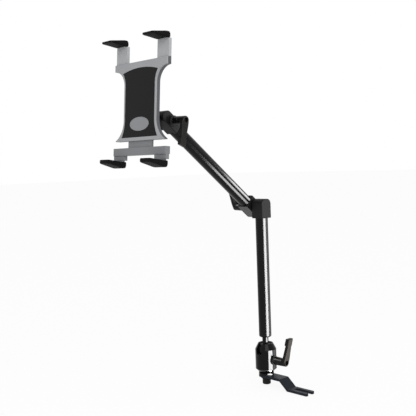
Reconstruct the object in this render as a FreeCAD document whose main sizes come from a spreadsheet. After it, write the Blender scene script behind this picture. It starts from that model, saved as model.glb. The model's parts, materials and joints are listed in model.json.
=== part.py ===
"""Tablet mount for a car seat rail, as a parametric document.

A forked bar slips under a bolt of the seat rail. A ball head stands on it and holds a two-tube
arm, and the arm's end carries a spring-loaded tablet holder. Lengths are millimetres and angles
are degrees. The origin is the root of the fork's slot on the bar's underside, +Z is up, +X runs
along the fork and -Y is the side where the tablet faces the passenger.
"""
import FreeCAD, Part

import math
import os

import Sketcher
from FreeCAD import Placement, Rotation, Vector

SIZES = {
    # Rail bracket
    "bar_width": 20,
    "bar_thickness": 4,
    "bar_corner": 1.5,
    "slot_radius": 4.25,
    "fork_reach": 26,
    "fork_heel": 11,
    "bracket_run": 15,
    "bracket_rise": 13,
    "pole_offset": 63,
    "bar_end_overhang": 3,
    # How far a cut or an overlap runs past the face that it meets
    "overrun": 1,
    # Base bolt and its washers
    "bolt_radius": 4,
    "bolt_play": 0.25,
    "bolt_head_radius": 6.5,
    "bolt_head_height": 8,
    "bolt_socket": 3,
    "washer_radius": 9,
    "washer_thickness": 1.6,
    "lock_washer_radius": 7,
    "lock_washer_thickness": 2.2,
    "bolt_grip": 14,
    # Ball head
    "neck_radius": 10.7,
    "collar_radius": 12.2,
    "neck_height": 3.7,
    "collar_rim": 0.5,
    "flare_height": 6.3,
    "plug_depth": 6,
    "housing_radius": 17,
    "housing_height": 31.5,
    "crown_height": 9.5,
    "crown_radius": 12,
    "housing_bore": 14.3,
    "ball_radius": 12.5,
    "ball_play": 0.1,
    "ball_sink": 2.5,
    "seat_band": 1,
    "mouth_height": 8.5,
    "mouth_radius": 11,
    "stem_radius": 5,
    "notch_play": 0.6,
    "liner_wall": 1.5,
    "liner_rim_drop": 7,
    "cup_height": 13,
    "cup_rim_drop": 10,
    "spindle_drop": 14,
    "boss_radius": 7.5,
    "boss_height": 2,
    # Tubes and hinge blocks
    "tube_radius": 10,
    "tube_wall": 1.5,
    "stem_length": 22,
    "foot_height": 4,
    "foot_rounding": 2.6,
    "foot_spigot": 16,
    "stud_radius": 4,
    "stud_length": 12,
    "pole_length": 230.6,
    "arm_length": 218,
    "arm_lean": 51.62,
    "block_width": 22,
    "block_depth": 22,
    "block_drop": 17,
    "block_top": 13.5,
    "arm_block_top": 18.5,
    "block_corner": 8,
    "head_block_depth": 18,
    "head_boss_radius": 8,
    "head_boss_height": 5,
    "block_edge": 0.8,
    "spigot_length": 16,
    "hinge_washer_radius": 9,
    "hinge_washer_thickness": 0.5,
    "pin_radius": 3,
    "pin_play": 0.3,
    "thread_play": 0.05,
    "insert_radius": 4.5,
    "insert_length": 12,
    # Clamping levers
    "hub_length": 24.5,
    "hub_radius": 6,
    "hub_base_radius": 6.6,
    "hub_base_length": 4,
    "hub_base_rim": 0.6,
    "lever_rim": 1,
    "lever_reach": 40,
    "lever_lean": 15,
    "lever_bar": 5,
    "lever_gusset": 2,
    "lever_width": 8.4,
    "grip_length": 12,
    "grip_step": 1.4,
    "grip_width": 9.6,
    "flange_radius": 5.6,
    "flange_thickness": 1.3,
    "tooth_count": 12,
    "tooth_root": 3.5,
    "tooth_tip": 4.1,
    "tooth_play": 0.15,
    "tooth_length": 4.2,
    "web_start": 10,
    "web_thickness": 2,
    "screw_radius": 2,
    "screw_head_radius": 3.4,
    "screw_head_height": 2.4,
    "screw_sink": 2.5,
    "spring_wire": 0.7,
    "spring_turns": 5,
    "base_lever_angle": 0,
    "elbow_lever_angle": 8,
    "head_lever_angle": 155,
    # Head and holder
    "holder_lean": 4.56,
    "head_depth": 23.7,
    "holder_rise": 27.8,
    "tilt_block_width": 28,
    "swivel_radius": 10.5,
    "swivel_washer": 1.5,
    "swivel_screw_radius": 3,
    "swivel_head_radius": 5,
    "swivel_head_height": 2.2,
    "swivel_grip": 14,
    "swivel_plate_radius": 7,
    "swivel_plate_thickness": 0.6,
    "top_half": 59,
    "top_edge": 58,
    "ear_edge": 48,
    "waist_half": 36,
    "waist_top": 25,
    "waist_bottom": -25,
    "bottom_half": 54.5,
    "bottom_edge": -56,
    "flange_edge": 1.2,
    "shell_depth": 5.6,
    "shell_wall": 2,
    "shell_floor": 2.2,
    "bezel_thickness": 2.4,
    "panel_sink": 1.2,
    "panel_thickness": 0.8,
    "panel_play": 0.15,
    "panel_top_half": 40,
    "panel_top": 43.6,
    "panel_crown": 5.4,
    "panel_margin": 2.2,
    "panel_bottom_half": 41,
    "panel_bottom": -51,
    "arm_overhang": 0.5,
    "arm_width": 25,
    "arm_back": 0.5,
    "arm_thickness": 4.5,
    "arm_top": 84,
    "screw_boss": 2.8,
    "case_screw_radius": 1.3,
    "case_screw_head": 2.4,
    "case_screw_drop": 5.5,
    "case_screw_inset": 12,
    "case_screw_low": -20,
    "case_screw_low_inset": 5,
    # Jaw and hooks
    "tongue_half": 27,
    "tongue_gap": 0.3,
    "tongue_thickness": 2.9,
    "tongue_top": 14,
    "tongue_slot_half": 12,
    "tongue_slot_end": -46,
    "jaw_gap": 10,
    "crossbar_height": 11,
    "crossbar_front": 8,
    "crossbar_depth": 8.5,
    "lower_arm_depth": 6,
    "lower_arm_setback": 1,
    "jaw_screw_seat": 1,
    "jaw_screw_half": 16,
    "spring_offset": 9.3,
    "jaw_spring_radius": 1.4,
    "jaw_spring_top": 31,
    "tablet_half": 84.75,
    "upper_hook_root": 7.2,
    "upper_hook_tip": 6.5,
    "upper_hook_relief": 1.5,
    "lower_hook_root": 11.5,
    "lower_hook_tip": 5,
    "lower_hook_relief": 0.3,
    "hook_reach": 30.6,
    "hook_back": 3,
    "hook_base_front": 9,
    "hook_rounding": 2.5,
    "hook_lip_rim": 1,
    "hook_wall": 3,
    "finger_back": 3.6,
    "finger_thickness": 3,
    "finger_reach": 20,
    "finger_height": 87,
}


class Size:
    """A value that knows its number now and the formula that the document keeps for it."""

    def __init__(self, number, formula=None):
        self.number = float(number)
        self.formula = formula or f"({self.number:.9g})"

    def __add__(self, other):
        other = as_size(other)
        return Size(self.number + other.number, f"({self.formula} + {other.formula})")

    def __sub__(self, other):
        other = as_size(other)
        return Size(self.number - other.number, f"({self.formula} - {other.formula})")

    def __mul__(self, other):
        other = as_size(other)
        return Size(self.number * other.number, f"({self.formula} * {other.formula})")

    def __truediv__(self, other):
        other = as_size(other)
        return Size(self.number / other.number, f"({self.formula} / {other.formula})")

    def __radd__(self, other):
        return as_size(other) + self

    def __rsub__(self, other):
        return as_size(other) - self

    def __rmul__(self, other):
        return as_size(other) * self

    def __neg__(self):
        return Size(-self.number, f"(0 - {self.formula})")


def as_size(value):
    return value if isinstance(value, Size) else Size(value)


def size(name):
    return Size(SIZES[name], "Sizes." + name)


def sine(angle):
    return Size(math.sin(math.radians(angle.number)), f"sin({angle.formula})")


def cosine(angle):
    return Size(math.cos(math.radians(angle.number)), f"cos({angle.formula})")


def tangent(angle):
    return Size(math.tan(math.radians(angle.number)), f"tan({angle.formula})")


def root(value):
    return Size(math.sqrt(value.number), f"sqrt({value.formula})")


class Frame:
    """A place on the part, kept as a placement and as the formula that gives it."""

    AXES = {"x": Vector(1, 0, 0), "z": Vector(0, 0, 1)}

    def __init__(self, placement=None, formula=""):
        self.placement = placement or Placement()
        self.formula = formula

    def moved(self, x=0, y=0, z=0, turn=0, about="x"):
        x, y, z, turn = (as_size(value) for value in (x, y, z, turn))
        axis = self.AXES[about]
        spot = Vector(x.number, y.number, z.number)
        step = Placement(spot, Rotation(axis, turn.number))
        arrow = "vector(1; 0; 0)" if about == "x" else "vector(0; 0; 1)"
        words = f"placement(vector({x.formula}; {y.formula}; {z.formula}); "
        words += f"rotation({arrow}; {turn.formula}))"
        joined = f"{self.formula} * {words}" if self.formula else words
        return Frame(self.placement.multiply(step), joined)


document = FreeCAD.newDocument("TabletMount")
pieces = []


def make_sheet():
    """Puts every driving size in the spreadsheet, one row each."""
    sheet = document.addObject("Spreadsheet::Sheet", "Sizes")
    for row, (name, number) in enumerate(SIZES.items(), start=1):
        sheet.set(f"A{row}", name)
        sheet.set(f"B{row}", str(number))
        sheet.setAlias(f"B{row}", name)
    document.recompute()


class Drawing:
    """Adds closed outlines and circles to one sketch, every point bound to its formula."""

    def __init__(self, sketch):
        self.sketch = sketch

    def bind(self, kind, *places, value):
        value = as_size(value)
        constraint = Sketcher.Constraint(kind, *places, value.number)
        index = self.sketch.addConstraint(constraint)
        self.sketch.setExpression(f"Constraints[{index}]", value.formula)

    def pin(self, edge, end, x, y):
        self.bind("DistanceX", -1, 1, edge, end, value=x)
        self.bind("DistanceY", -1, 1, edge, end, value=y)

    def circle(self, x, y, radius):
        x, y, radius = as_size(x), as_size(y), as_size(radius)
        shape = Part.Circle(Vector(x.number, y.number, 0), Vector(0, 0, 1), radius.number)
        edge = self.sketch.addGeometry(shape, False)
        self.bind("Radius", edge, value=radius)
        self.pin(edge, 3, x, y)

    def outline(self, points):
        """Each point is (x, y), or (x, y, radius, side) where an arc leads on to the next.

        The side says where the arc's centre lies as one walks on: +1 left, -1 right.
        """
        spots = [(as_size(point[0]), as_size(point[1])) for point in points]
        edges = []
        for index, point in enumerate(points):
            here = Vector(spots[index][0].number, spots[index][1].number, 0)
            following = spots[(index + 1) % len(spots)]
            there = Vector(following[0].number, following[1].number, 0)
            if len(point) == 2:
                edges.append(self.sketch.addGeometry(Part.LineSegment(here, there), False))
            else:
                edges.append(self.add_arc(here, there, as_size(point[2]), point[3]))
        for index, (edge, reverse) in enumerate(edges_with_sense(edges, points)):
            following, backwards = edges_with_sense(edges, points)[(index + 1) % len(edges)]
            leaves = 1 if reverse else 2
            enters = 2 if backwards else 1
            joint = Sketcher.Constraint("Coincident", edge, leaves, following, enters)
            self.sketch.addConstraint(joint)
            self.pin(edge, 2 if reverse else 1, *spots[index])

    def add_arc(self, here, there, radius, side):
        chord = there - here
        half = chord.Length / 2
        rise = math.sqrt(max(radius.number ** 2 - half ** 2, 0))
        normal = Vector(-chord.y, chord.x, 0).normalize() * side
        centre = here + chord * 0.5 + normal * rise
        start, end = (here, there) if side > 0 else (there, here)
        first = math.atan2(start.y - centre.y, start.x - centre.x)
        last = math.atan2(end.y - centre.y, end.x - centre.x)
        circle = Part.Circle(centre, Vector(0, 0, 1), radius.number)
        edge = self.sketch.addGeometry(Part.ArcOfCircle(circle, first, last), False)
        self.bind("Radius", edge, value=radius)
        return edge


def edges_with_sense(edges, points):
    """Pairs each edge with whether it was drawn against the walk, as a right-hand arc is."""
    return [(edge, len(point) > 2 and point[3] < 0) for edge, point in zip(edges, points)]


class Piece:
    """One sub-part of the mount, a body with its sketches and features."""

    def __init__(self, label, frame):
        self.body = document.addObject("PartDesign::Body", label)
        self.body.Label = label
        self.body.Placement = frame.placement
        if frame.formula:
            self.body.setExpression("Placement", frame.formula)
        pieces.append(self.body)

    def draw(self, name, plane, height=0):
        sketch = self.body.newObject("Sketcher::SketchObject", name)
        support = [part for part in self.body.Origin.OriginFeatures if part.Role == plane][0]
        sketch.AttachmentSupport = [(support, "")]
        sketch.MapMode = "FlatFace"
        height = as_size(height)
        sketch.AttachmentOffset = Placement(Vector(0, 0, height.number), Rotation())
        sketch.setExpression("AttachmentOffset.Base.z", height.formula)
        sketch.Visibility = False
        return sketch

    def extrude(self, kind, name, plane, start, end, outlines, circles):
        sketch = self.draw(name + "_sketch", plane, start if kind == "Pad" else end)
        drawing = Drawing(sketch)
        for points in outlines:
            drawing.outline(points)
        for circle in circles:
            drawing.circle(*circle)
        feature = self.body.newObject("PartDesign::" + kind, name)
        feature.Profile = sketch
        length = as_size(end) - as_size(start)
        feature.Length = length.number
        feature.setExpression("Length", length.formula)
        document.recompute()
        return feature

    def pad(self, name, plane, start, end, *outlines, circles=()):
        """Adds material from start to end along the plane's own direction."""
        return self.extrude("Pad", name, plane, start, end, outlines, circles)

    def pocket(self, name, plane, start, end, *outlines, circles=()):
        """Takes material away from start to end along the plane's own direction."""
        before = self.body.Shape.Volume
        feature = self.extrude("Pocket", name, plane, start, end, outlines, circles)
        if self.body.Shape.Volume >= before:
            raise ValueError(f"{self.body.Label}: {name} cut nothing")
        return feature

    def turn(self, kind, name, points, about):
        sketch = self.draw(name + "_sketch", "XZ_Plane")
        Drawing(sketch).outline(points)
        feature = self.body.newObject("PartDesign::" + kind, name)
        feature.Profile = sketch
        feature.ReferenceAxis = (sketch, [about])
        feature.Angle = 360
        document.recompute()
        return feature

    def revolve(self, name, points, about="V_Axis"):
        """Turns a profile of (radius, height), or of (length, radius) about H_Axis."""
        return self.turn("Revolution", name, points, about)

    def groove(self, name, points, about="V_Axis"):
        before = self.body.Shape.Volume
        feature = self.turn("Groove", name, points, about)
        if self.body.Shape.Volume >= before:
            raise ValueError(f"{self.body.Label}: {name} cut nothing")
        return feature

    def polar(self, name, feature, count, axis_role="X_Axis"):
        """Repeats a feature about one of the body's own axes."""
        axis = [part for part in self.body.Origin.OriginFeatures if part.Role == axis_role][0]
        pattern = self.body.newObject("PartDesign::PolarPattern", name)
        pattern.Originals = [feature]
        pattern.Axis = (axis, [""])
        pattern.Angle = 360
        pattern.Occurrences = int(count.number)
        pattern.setExpression("Occurrences", count.formula)
        self.body.Tip = pattern
        document.recompute()

    def dress(self, kind, name, amount, keep):
        """Rounds or chamfers the edges that the test picks from the shape so far."""
        document.recompute()
        base = self.body.Tip
        names = [f"Edge{index}" for index, edge in enumerate(base.Shape.Edges, start=1)
                 if keep(edge)]
        feature = self.body.newObject("PartDesign::" + kind, name)
        feature.Base = (base, names)
        value = "Radius" if kind == "Fillet" else "Size"
        amount = as_size(amount)
        setattr(feature, value, amount.number)
        feature.setExpression(value, amount.formula)
        document.recompute()


def rectangle(left, low, right, high):
    return [(left, low), (right, low), (right, high), (left, high)]


def is_line_along(edge, direction):
    """True for a straight edge that runs along the given axis."""
    if not isinstance(edge.Curve, Part.Line):
        return False
    heading = (edge.Vertexes[-1].Point - edge.Vertexes[0].Point).normalize()
    return abs(abs(heading.dot(direction)) - 1) < 1e-6


ALONG_X = Vector(1, 0, 0)
ALONG_Y = Vector(0, 1, 0)
ALONG_Z = Vector(0, 0, 1)

# Heights on the base, from the fork's underside up
bracket_top = size("bracket_rise") + size("bar_thickness")
neck_top = bracket_top + size("neck_height")
flare_top = neck_top + size("flare_height")
crown_base = flare_top + size("housing_height")
crown_top = crown_base + size("crown_height")
ball_height = crown_base - size("ball_sink")
spindle_height = ball_height - size("spindle_drop")

# Widths that follow the holder's top
arm_outer = size("top_half") + size("arm_overhang")
arm_inner = arm_outer - size("arm_width")
over = size("overrun")

# Places that several pieces share
ground = Frame()
pole = ground.moved(x=-size("pole_offset"))
ball = pole.moved(z=ball_height)
elbow = ball.moved(z=size("pole_length"))
arm_shift = size("block_width") + size("hinge_washer_thickness")
arm = elbow.moved(x=-arm_shift, turn=size("arm_lean"))
wrist = arm.moved(z=size("arm_length"))
tilt_shift = (size("block_width") + size("tilt_block_width")) / 2 + size("hinge_washer_thickness")
head = wrist.moved(x=-tilt_shift, turn=-size("arm_lean") - size("holder_lean"))
holder = head.moved(y=-size("head_depth"), z=size("holder_rise"))


def make_rail_bracket():
    """A flat bar with two bends, a rounded bolt end and an open fork."""
    piece = Piece("rail_bracket", ground)
    thick = size("bar_thickness")
    run, rise = size("bracket_run"), size("bracket_rise")
    heel = -size("fork_heel")
    bend = heel - run
    slope = root(run * run + rise * rise)
    # Where the two bends' inner and outer lines meet, a shift keeps the slope as thick as the flats
    shift = thick * (slope - run) / rise
    far = -size("pole_offset") - size("bar_end_overhang") - size("bar_width") / 2
    reach = size("fork_reach")
    half = size("bar_width") / 2
    side = [(far, rise), (bend - shift, rise), (heel - shift, 0), (reach, 0),
            (reach, thick), (heel, thick), (bend, rise + thick), (far, rise + thick)]
    piece.pad("bar", "XZ_Plane", -half, half, side)
    end = -size("pole_offset") - size("bar_end_overhang")
    big = bracket_top + over
    corner = [(far - over, -half - over), (end, -half - over), (end, -half, half, -1),
              (end - half, 0, half, -1), (end, half), (end, half + over),
              (far - over, half + over)]
    piece.pocket("round_end", "XY_Plane", -over, big, corner)
    radius = size("slot_radius")
    slot = [(0, radius, radius, 1), (-radius, 0, radius, 1), (0, -radius),
            (reach + over, -radius), (reach + over, radius)]
    piece.pocket("fork_slot", "XY_Plane", -over, big, slot)
    hole = (-size("pole_offset"), 0, size("bolt_radius") + size("bolt_play"))
    piece.pocket("bolt_hole", "XY_Plane", -over, big, circles=[hole])
    tips = reach.number
    piece.dress("Fillet", "tine_corners", size("bar_corner"),
                lambda edge: is_line_along(edge, ALONG_Z) and edge.Vertexes[0].X > tips - 0.01)


def make_base_bolt():
    """Plain washer, split washer and socket cap screw under the bracket."""
    under = size("bracket_rise")
    hole = size("bolt_radius") + size("bolt_play")
    washer = Piece("base_washer", pole)
    thick = size("washer_thickness")
    washer.revolve("ring", rectangle(hole, under - thick, size("washer_radius"), under))
    split = Piece("base_lock_washer", pole)
    low = under - thick - size("lock_washer_thickness")
    split.revolve("ring", rectangle(hole, low, size("lock_washer_radius"), under - thick))
    gap = size("bolt_play") * 2
    split.pocket("split", "XY_Plane", low - over, under,
                 rectangle(0, -gap, size("lock_washer_radius") + over, gap))
    bolt = Piece("base_bolt", pole)
    head_low = low - size("bolt_head_height")
    radius, head_radius = size("bolt_radius"), size("bolt_head_radius")
    tip = bracket_top + size("bolt_grip")
    rim = size("screw_sink") / 4
    bolt.revolve("screw", [(0, head_low), (head_radius - rim, head_low),
                           (head_radius, head_low + rim), (head_radius, low), (radius, low),
                           (radius, tip - rim), (radius - rim, tip), (0, tip)])
    across = size("bolt_socket") / math.cos(math.pi / 6)
    hexagon = [(across * math.cos(math.radians(60 * corner)),
                across * math.sin(math.radians(60 * corner))) for corner in range(6)]
    bolt.pocket("socket", "XY_Plane", head_low - over, head_low + size("bolt_head_height") / 2,
                hexagon)


def make_housing_plug():
    """The neck, its flare and the spigot that closes the housing from below."""
    piece = Piece("housing_plug", pole)
    top = flare_top + size("plug_depth")
    collar, neck = size("collar_radius"), size("neck_radius")
    piece.revolve("plug", [(0, bracket_top), (collar, bracket_top),
                           (collar, neck_top - size("collar_rim")), (neck, neck_top),
                           (size("housing_radius"), flare_top), (size("housing_bore"), flare_top),
                           (size("housing_bore"), top), (0, top)])
    piece.pocket("bolt_thread", "XY_Plane", bracket_top - over, bracket_top + size("bolt_grip"),
                 circles=[(0, 0, size("bolt_radius"))])


def make_ball_housing():
    """The turned body with its seat, its mouth, the side notch and the spindle's boss."""
    piece = Piece("ball_housing", pole)
    bore, outer = size("housing_bore"), size("housing_radius")
    seat = size("ball_radius") + size("ball_play")
    band = size("seat_band")
    seat_low = ball_height + band
    seat_low_radius = root(seat * seat - band * band)
    mouth = size("mouth_height")
    mouth_low = root(seat * seat - mouth * mouth)
    piece.revolve("body", [(bore, flare_top), (outer, flare_top), (outer, crown_base),
                           (size("crown_radius"), crown_top), (size("mouth_radius"), crown_top),
                           (mouth_low, ball_height + mouth, seat, -1),
                           (seat_low_radius, seat_low), (bore, seat_low)])
    boss_end = outer + size("boss_height")
    thread = size("pin_radius") + size("thread_play")
    piece.pad("spindle_boss", "YZ_Plane", bore + over, boss_end,
              circles=[(0, spindle_height, size("boss_radius"))])
    piece.pocket("spindle_hole", "YZ_Plane", 0, boss_end + over,
                 circles=[(0, spindle_height, thread)])
    half = size("stem_radius") + size("notch_play")
    notch = [(-half, ball_height, half, 1), (0, ball_height - half, half, 1),
             (half, ball_height), (half, crown_top + over), (-half, crown_top + over)]
    piece.pocket("notch", "XZ_Plane", size("stem_radius"), outer + over, notch)


def make_clamp_cup():
    """The plunger under the ball, with a hollow top and a side hole for the spindle's point."""
    piece = Piece("clamp_cup", pole)
    hollow = size("ball_radius") + size("ball_play") * 2 + size("liner_wall")
    radius = size("housing_bore") - size("pin_play")
    rim = ball_height - size("cup_rim_drop")
    low = rim - size("cup_height")
    inner = root(hollow * hollow - size("cup_rim_drop") * size("cup_rim_drop"))
    piece.revolve("cup", [(0, low), (radius, low), (radius, rim), (inner, rim, hollow, -1),
                          (0, ball_height - hollow)])
    reach = size("pin_radius") + size("pin_play")
    piece.pocket("point_hole", "YZ_Plane", radius - reach - size("pin_play"), radius + over,
                 circles=[(0, spindle_height, reach)])


def make_ball_liner():
    """The thin bearing shell between plunger and ball."""
    piece = Piece("ball_liner", ball)
    inner = size("ball_radius") + size("ball_play")
    outer = inner + size("liner_wall")
    drop = size("liner_rim_drop")
    hole = size("bolt_play") * 8
    depth = root(inner * inner - hole * hole)
    foot = root(outer * outer - hole * hole)
    piece.revolve("shell", [(hole, -foot, outer, 1),
                            (root(outer * outer - drop * drop), -drop),
                            (root(inner * inner - drop * drop), -drop, inner, -1),
                            (hole, -depth)])


def make_ball_stud():
    """Ball, stem and threaded end in one turned piece."""
    piece = Piece("ball_stud", ball)
    radius, stem, stud = size("ball_radius"), size("stem_radius"), size("stud_radius")
    meet = root(radius * radius - stem * stem)
    shoulder = size("stem_length")
    tip = shoulder + size("stud_length")
    piece.revolve("stud", [(0, -radius, radius, 1), (radius, 0, radius, 1), (stem, meet),
                           (stem, shoulder), (stud, shoulder), (stud, tip), (0, tip)])


def make_lower_tube():
    """The pole: its rounded foot plug and the tube."""
    foot = Piece("lower_end_plug", ball)
    low = size("stem_length")
    seam = low + size("foot_height")
    outer = size("tube_radius")
    rounding = size("foot_rounding")
    spigot = outer - size("tube_wall")
    bore = size("stud_radius") + size("thread_play")
    top = seam + size("foot_spigot")
    foot.revolve("plug", [(bore, low), (outer - rounding, low, rounding, 1),
                          (outer, low + rounding), (outer, seam), (spigot, seam),
                          (spigot, top), (bore, top)])
    tube = Piece("lower_tube", ball)
    end = size("pole_length") - size("block_drop")
    tube.revolve("tube", rectangle(spigot, seam, outer, end))


def hinge_block(label, frame, turned, top, depth=None):
    """A square block with an arched end and its spigot.

    The frame's origin is the hinge. The block hangs below it, or stands above it when turned.
    """
    piece = Piece(label, frame)
    sign = 1 if turned else -1
    half = (depth or size("block_depth")) / 2
    width, corner = size("block_width"), size("block_corner")
    base = size("block_drop") * sign
    shoulder, end = (top - corner) * -sign, top * -sign
    left, right = (half, -half) if turned else (-half, half)
    inner_left, inner_right = (left - corner, right + corner) if turned else (
        left + corner, right - corner)
    outline = [(left, base), (right, base), (right, shoulder, corner, 1), (inner_right, end),
               (inner_left, end, corner, 1), (left, shoulder)]
    piece.pad("block", "YZ_Plane", -width / 2, width / 2, outline)
    spigot = size("tube_radius") - size("tube_wall")
    tail = base + size("spigot_length") * sign
    low, high = (base, tail) if turned else (tail, base)
    piece.pad("spigot", "XY_Plane", low, high, circles=[(0, 0, spigot)])
    return piece


def hinge_hole(piece, start, end, bore):
    """The cross hole of a hinge block, from one level along X to another."""
    piece.pocket("hinge_hole", "YZ_Plane", start, end, circles=[(0, 0, bore)])


def block_edges(piece, width):
    """Breaks the outline edges of both flat faces of a hinge block."""
    face = width.number / 2

    def on_rim(edge):
        ends = [vertex.Point.x for vertex in edge.Vertexes]
        on_face = all(abs(abs(end) - face) < 1e-4 for end in ends)
        return on_face and len(ends) > 1 and abs(ends[0] - ends[1]) < 1e-4

    piece.dress("Chamfer", "edges", size("block_edge"), on_rim)


def washer(label, frame, x_low, thickness, bore):
    """A flat friction ring on a hinge axis that runs along X."""
    piece = Piece(label, frame)
    profile = rectangle(x_low, bore, x_low + thickness, size("hinge_washer_radius"))
    piece.revolve("ring", profile, "H_Axis")


def threaded_insert(label, frame, x_low):
    """The metal bush that takes the clamping screw's thread."""
    piece = Piece(label, frame)
    bore = size("pin_radius") + size("thread_play")
    profile = rectangle(x_low, bore, x_low + size("insert_length"), size("insert_radius"))
    piece.revolve("bush", profile, "H_Axis")


def make_elbow():
    """The two elbow blocks, the washer between them and the bush in the lower one."""
    free = size("pin_radius") + size("pin_play")
    half = size("block_width") / 2
    lower = hinge_block("lower_elbow_block", elbow, False, size("block_top"))
    hole_end = size("insert_length") + size("pin_play") - half
    hinge_hole(lower, -half - over, hole_end, size("insert_radius"))
    block_edges(lower, size("block_width"))
    threaded_insert("elbow_insert", elbow, -half)
    thin = size("hinge_washer_thickness")
    washer("elbow_washer", elbow, -half - thin, thin, free)
    upper = hinge_block("upper_elbow_block", arm, True, size("arm_block_top"))
    hinge_hole(upper, -half - over, half + over, free)
    block_edges(upper, size("block_width"))


def make_upper_arm():
    """The leaning tube, the block at its far end and the washer beside it."""
    tube = Piece("upper_tube", arm)
    outer = size("tube_radius")
    end = size("arm_length") - size("block_drop")
    tube.revolve("tube", rectangle(outer - size("tube_wall"), size("block_drop"), outer, end))
    free = size("pin_radius") + size("pin_play")
    wide, thickness = size("block_width") / 2, size("hinge_washer_thickness")
    block = hinge_block("head_block", wrist, False, size("arm_block_top"),
                        size("head_block_depth"))
    hinge_hole(block, -wide - over, wide + over, free)
    block_edges(block, size("block_width"))
    block.pad("lever_seat", "YZ_Plane", wide - over, wide + size("head_boss_height"),
              circles=[(0, 0, size("head_boss_radius")), (0, 0, free)])
    washer("head_washer", wrist, -wide - thickness, thickness, free)


def make_tilt_block():
    """The block that tilts on the arm's tongue and carries the holder's swivel."""
    piece = Piece("tilt_block", head)
    half, wide = size("block_depth") / 2, size("tilt_block_width") / 2
    top, corner = size("block_top"), size("block_corner")
    base = -size("head_depth") + size("swivel_washer")
    outline = [(base, -half), (top - corner, -half, corner, 1), (top, corner - half),
               (top, half - corner, corner, 1), (top - corner, half), (base, half)]
    piece.pad("block", "YZ_Plane", -wide, wide, outline)
    hole_start = wide - size("insert_length") - size("pin_play")
    hinge_hole(piece, hole_start, wide + over, size("insert_radius"))
    screw = size("swivel_screw_radius")
    piece.pocket("screw_thread", "XZ_Plane", -base - size("swivel_grip"), -base + over,
                 circles=[(0, 0, screw)])
    threaded_insert("head_insert", head, wide - size("insert_length"))
    disc = Piece("swivel_washer", head)
    disc.pad("disc", "XZ_Plane", -base, size("head_depth"),
             circles=[(0, 0, size("swivel_radius")), (0, 0, screw + size("pin_play"))])


def make_swivel_screw():
    """The screw and broad washer inside the holder that let it turn on the tilt block."""
    floor = size("head_depth") + size("shell_floor")
    plate = size("swivel_plate_thickness")
    radius = size("swivel_screw_radius")
    washer_piece = Piece("swivel_plate", head)
    washer_piece.pad("disc", "XZ_Plane", floor, floor + plate,
                     circles=[(0, 0, size("swivel_plate_radius")), (0, 0, radius)])
    screw = Piece("swivel_screw", head)
    tip = size("head_depth") - size("swivel_washer") - size("swivel_grip")
    screw.pad("shank", "XZ_Plane", tip, floor + plate, circles=[(0, 0, radius)])
    screw.pad("screw_head", "XZ_Plane", floor + plate,
              floor + plate + size("swivel_head_height"),
              circles=[(0, 0, size("swivel_head_radius"))])


def tooth_ring(piece, name, kind, start, end, inner, outer, count):
    """One tapered tooth or tooth space, repeated about the X axis."""
    share = 90 / count.number
    wide, narrow = math.radians(share * 1.15), math.radians(share * 0.75)
    spots = [(inner * math.sin(-narrow), inner * math.cos(narrow)),
             (inner * math.sin(narrow), inner * math.cos(narrow)),
             (outer * math.sin(wide), outer * math.cos(wide)),
             (outer * math.sin(-wide), outer * math.cos(wide))]
    cut = getattr(piece, kind)(name, "YZ_Plane", start, end, spots)
    piece.polar(name + "s", cut, count)


def make_spindle(label, frame, inward, pointed):
    """Flange, toothed boss and clamping stud of one lever, turned in one piece."""
    piece = Piece(label, frame)
    flange, thick = size("flange_radius"), size("flange_thickness")
    teeth_end = thick + size("tooth_length")
    pin, root_radius = size("pin_radius"), size("tooth_root")
    neck_end = size("web_start") - size("pin_play")
    screw = size("screw_radius")
    profile = [(thick, flange), (thick, root_radius), (teeth_end, root_radius),
               (teeth_end, screw + size("pin_play")), (neck_end, screw + size("pin_play")),
               (neck_end, 0)]
    if pointed:
        profile += [(-inward - pin, 0), (-inward - pin, pin / 3), (-inward, pin), (0, pin),
                    (0, flange)]
    else:
        profile += [(-inward, 0), (-inward, pin), (0, pin), (0, flange)]
    piece.revolve("stud", profile, "H_Axis")
    share = size("tooth_count")
    tooth_ring(piece, "tooth", "pad", thick, teeth_end, root_radius - size("tooth_play") * 2,
               size("tooth_tip"), share)
    piece.pocket("screw_thread", "YZ_Plane", thick, neck_end + over, circles=[(0, 0, screw)])


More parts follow.
